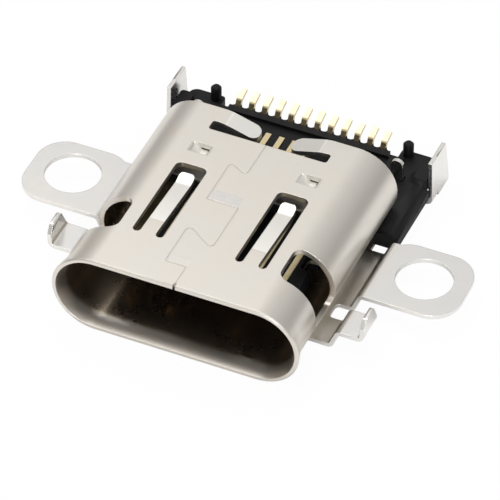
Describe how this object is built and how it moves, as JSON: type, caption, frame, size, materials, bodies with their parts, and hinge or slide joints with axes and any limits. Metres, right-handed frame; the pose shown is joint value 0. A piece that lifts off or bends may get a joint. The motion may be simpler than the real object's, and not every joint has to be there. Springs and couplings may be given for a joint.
{
  "type": "usb-c socket",
  "caption": "Board-mounted USB-C socket with a flared metal shell, two screw ears, solder legs and hooks, and a black plastic body with gold contact feet",
  "frame": {"origin": "centre of the part's bounding box in X and Y, on the plane that the underside of the metal rests on", "axes": "+X right seen from the mouth with the board side up, +Y from the mouth towards the solder feet, +Z towards the circuit board the part is soldered under"},
  "size_m": [0.0162, 0.012, 0.0032],
  "materials": {
    "shell_steel": "nickel-plated stainless steel, satin outside",
    "bracket_steel": "nickel-plated steel, satin to bright",
    "inner_steel": "bare stainless steel",
    "black_plastic": "glass-filled black plastic",
    "contact_gold": "pale gold plating"
  },
  "bodies": {
    "root": {"main_shell": "shell_steel", "mounting_bracket": "bracket_steel", "housing": "black_plastic", "upper_wafer": "black_plastic", "lower_wafer": "black_plastic", "mid_plate": "inner_steel", "upper_ground_plate": "inner_steel", "lower_ground_plate": "inner_steel", "upper_contact_1": "contact_gold", "upper_contact_2": "contact_gold", "upper_contact_3": "contact_gold", "upper_contact_4": "contact_gold", "upper_contact_5": "contact_gold", "upper_contact_6": "contact_gold", "upper_contact_7": "contact_gold", "upper_contact_8": "contact_gold", "upper_contact_9": "contact_gold", "upper_contact_10": "contact_gold", "upper_contact_11": "contact_gold", "upper_contact_12": "contact_gold", "lower_contact_1": "contact_gold", "lower_contact_2": "contact_gold", "lower_contact_3": "contact_gold", "lower_contact_4": "contact_gold", "lower_contact_5": "contact_gold", "lower_contact_6": "contact_gold", "lower_contact_7": "contact_gold", "lower_contact_8": "contact_gold", "lower_contact_9": "contact_gold", "lower_contact_10": "contact_gold", "lower_contact_11": "contact_gold", "lower_contact_12": "contact_gold"}
  },
  "joints": []
}
